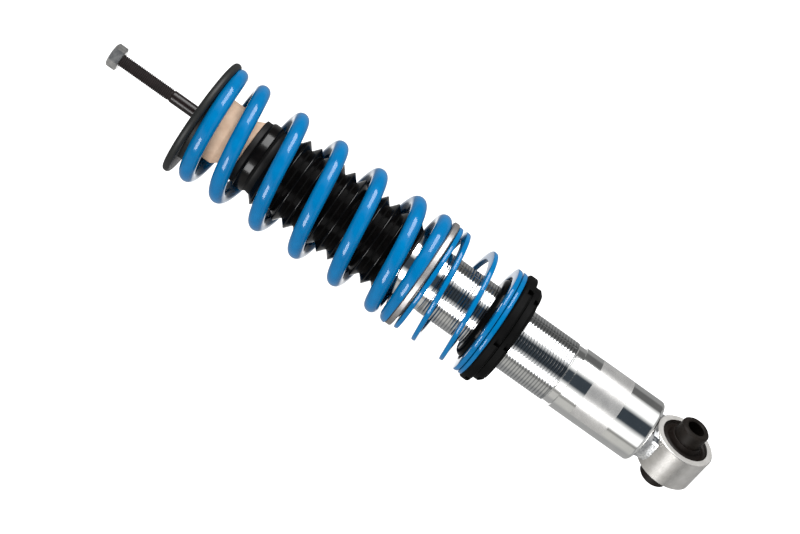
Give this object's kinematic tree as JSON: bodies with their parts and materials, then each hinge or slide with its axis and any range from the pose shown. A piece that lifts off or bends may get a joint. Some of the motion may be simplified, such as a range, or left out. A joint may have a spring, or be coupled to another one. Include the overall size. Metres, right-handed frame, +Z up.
{
  "type": "coil-over strut",
  "caption": "Threaded gas damper with a bushed lower eye, coil spring over a flat-wire helper, adjustable perch, dust boot, bump stop and upper spring plate.",
  "frame": {"origin": "centre of the bolt hole in the lower eye's sleeve", "axes": "+Z up the strut from the eye to the rod's pin, X along the eye's bolt hole, +X toward the end seen in the picture"},
  "size_m": [0.098, 0.098, 0.5477],
  "materials": {
    "black_steel": "black satin",
    "bush_rubber": "brown-black moulded rubber",
    "zinc_plate": "bright zinc plate",
    "black_coated_steel": "black coating",
    "blue_powder_coat": "gloss blue powder coat",
    "bare_aluminium": "turned, matte",
    "tan_foam": "matte cellular polyurethane",
    "black_rubber": "satin black rubber",
    "zinc_nut": "zinc plated",
    "plain_steel": "ground steel",
    "bronze": "bronze-backed bush",
    "seal_rubber": "nitrile rubber",
    "sintered_steel": "sintered steel",
    "piston_band_plastic": "filled PTFE"
  },
  "bodies": {
    "sleeve": {"bush_sleeve": "black_steel"},
    "barrel": {"bush_rubber": "bush_rubber", "lower_eye": "zinc_plate", "eye_weld": "zinc_plate", "damper_tube": "zinc_plate", "rod_guide": "plain_steel", "guide_bush": "bronze", "rod_seal": "seal_rubber", "circlip": "plain_steel", "guide_seal_ring": "seal_rubber", "tube_cap": "zinc_plate", "dust_boot": "black_rubber"},
    "rod": {"piston_rod": "black_steel", "top_nut": "zinc_nut", "rebound_stop": "plain_steel", "rebound_bumper": "seal_rubber", "compression_shims": "plain_steel", "rebound_shims": "plain_steel", "working_piston": "sintered_steel", "piston_band": "piston_band_plastic", "valve_washers": "plain_steel", "piston_nut": "plain_steel"},
    "floating_piston": {"floating_piston": "bare_aluminium", "floating_seal_ring": "seal_rubber"},
    "helper": {"helper_spring": "blue_powder_coat"},
    "perch": {"spring_perch": "black_coated_steel", "lock_ring": "black_coated_steel"},
    "coupler": {"spring_coupler": "bare_aluminium", "main_spring": "blue_powder_coat"},
    "upper_seat": {"upper_spring_plate": "black_coated_steel", "bump_stop": "tan_foam"}
  },
  "joints": [
    {"name": "eye_twist", "type": "hinge", "parent": "sleeve", "child": "barrel", "pos_m": [0, 0, 0], "axis": [1, 0, 0], "range_deg": [-15, 15], "stiffness_Nm_per_rad": 100},
    {"name": "rod_slide", "type": "slide", "parent": "barrel", "child": "rod", "axis": [0, 0, 1], "range_m": [-0.098, 0], "stiffness_N_per_m": 25000, "springref_m": 0.007, "deforming": ["dust_boot"]},
    {"name": "floating_piston_slide", "type": "slide", "parent": "barrel", "child": "floating_piston", "axis": [0, 0, 1], "range_m": [-0.0048, 0]},
    {"name": "perch_lift", "type": "slide", "parent": "barrel", "child": "helper", "axis": [0, 0, 1], "range_m": [-0.0101, 0.0101]},
    {"name": "collar_turn", "type": "hinge", "parent": "helper", "child": "perch", "pos_m": [0, 0, 0.1685], "axis": [0, 0, 1], "range_deg": [-1440, 1440]},
    {"name": "coupler_slide", "type": "slide", "parent": "helper", "child": "coupler", "axis": [0, 0, 1], "range_m": [-0.0442, 0], "deforming": ["helper_spring"]},
    {"name": "plate_slide", "type": "slide", "parent": "coupler", "child": "upper_seat", "axis": [0, 0, 1], "range_m": [-0.054, 0], "deforming": ["main_spring"]}
  ],
  "couplings": [
    {"joint": "floating_piston_slide", "follows": "rod_slide", "ratio": 0.047259},
    {"joint": "perch_lift", "follows": "collar_turn", "m_per_rad": 0.00039789},
    {"joint": "coupler_slide", "follows": "rod_slide", "ratio": 0.45},
    {"joint": "plate_slide", "follows": "rod_slide", "ratio": 0.55}
  ]
}
